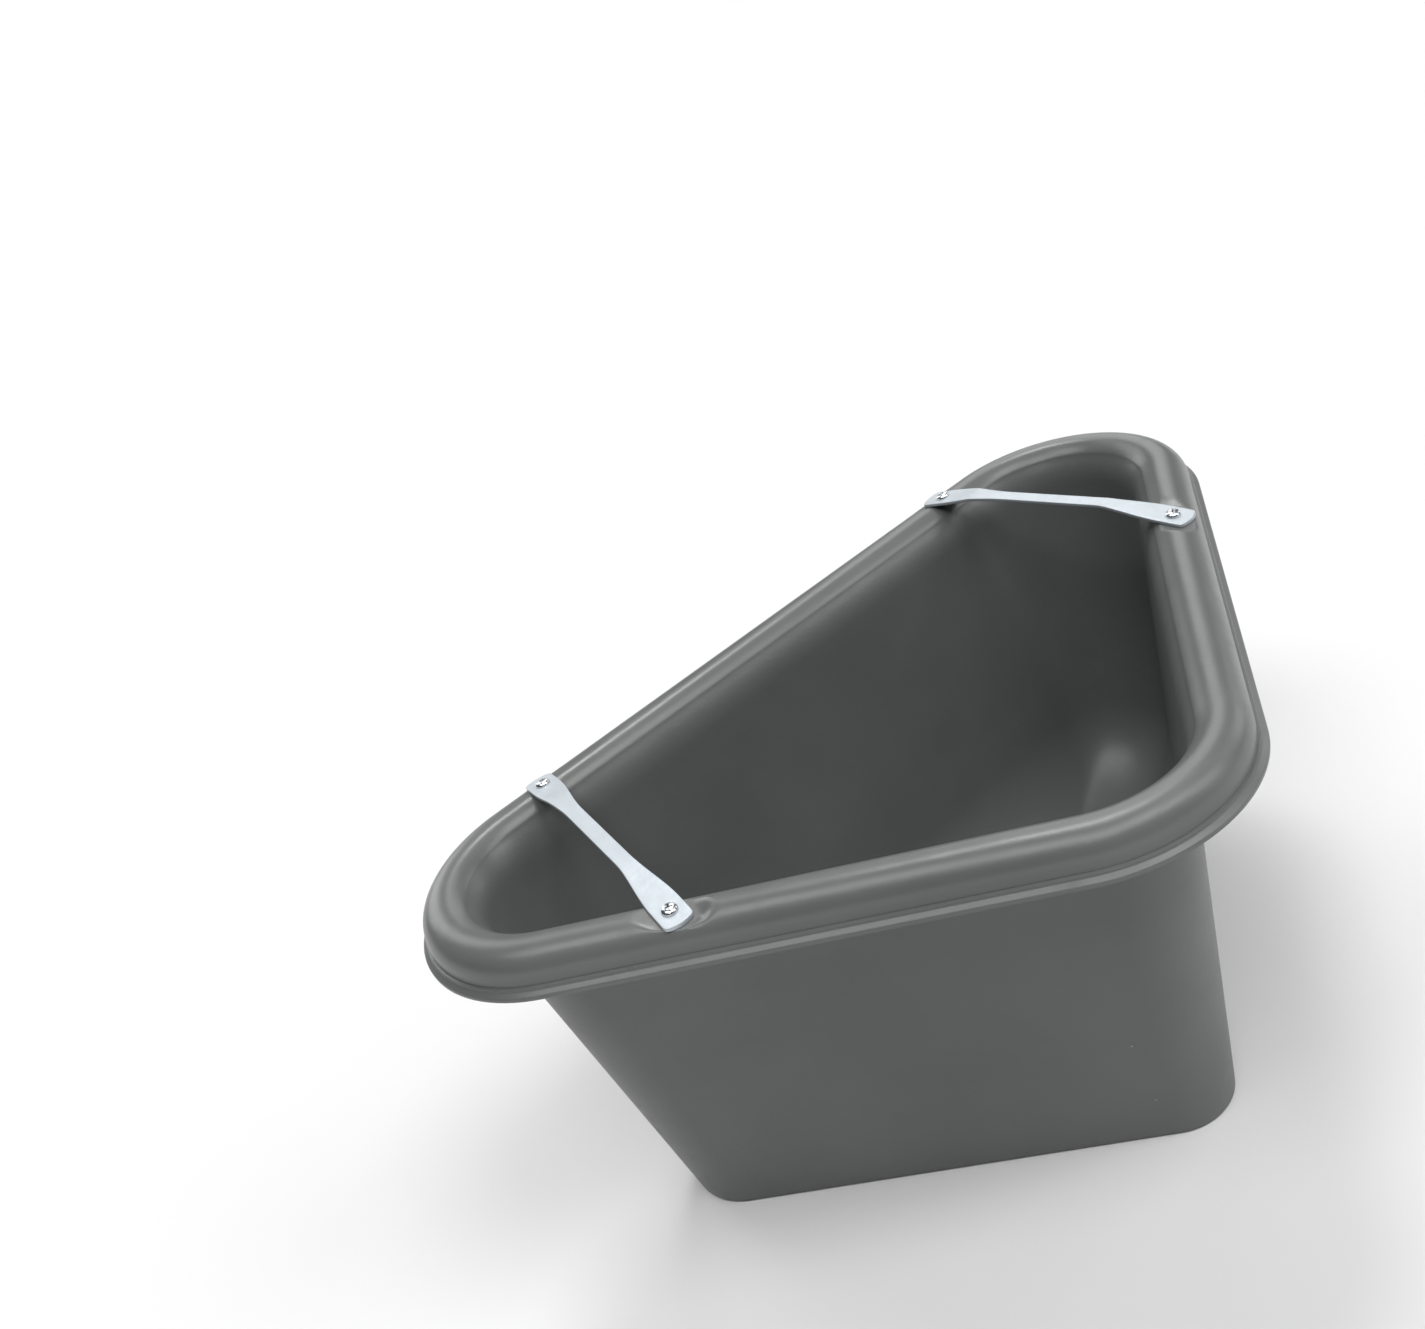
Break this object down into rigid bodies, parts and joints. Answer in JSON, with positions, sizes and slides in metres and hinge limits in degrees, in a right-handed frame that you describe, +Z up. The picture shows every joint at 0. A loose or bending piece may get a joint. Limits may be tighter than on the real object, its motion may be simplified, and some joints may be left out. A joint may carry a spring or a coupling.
{
  "type": "corner feed bucket",
  "caption": "Triangular corner feed trough with drafted walls, a hollow rolled rim and flat bars across its acute corners, hung in an open tubular wall frame that it lifts out of.",
  "frame": {"origin": "centre of the bounding box in plan, at the underside of the trough's base", "axes": "+Z up, +Y towards the corner of the stable (the trough's square corner), -Y the long front side, +X to the right as seen from the front"},
  "size_m": [0.7042, 0.4624, 0.3166],
  "materials": {
    "trough_plastic": "semi-gloss moulded grey polyethylene",
    "frame_tube": "hot-dip galvanised steel tube with drawn streaks",
    "bar_steel": "bright zinc-plated flat steel",
    "screw_steel": "bright zinc-plated screw head"
  },
  "bodies": {
    "frame": {"tube_frame": "frame_tube"},
    "trough": {"trough_shell": "trough_plastic", "corner_bar_right": "bar_steel", "corner_bar_left": "bar_steel", "bar_screw_right_front": "screw_steel", "bar_screw_right_rear": "screw_steel", "bar_screw_left_front": "screw_steel", "bar_screw_left_rear": "screw_steel"}
  },
  "joints": [
    {"name": "trough_lift", "type": "slide", "parent": "frame", "child": "trough", "axis": [0, 0, 1], "range_m": [0, 0.32]}
  ]
}
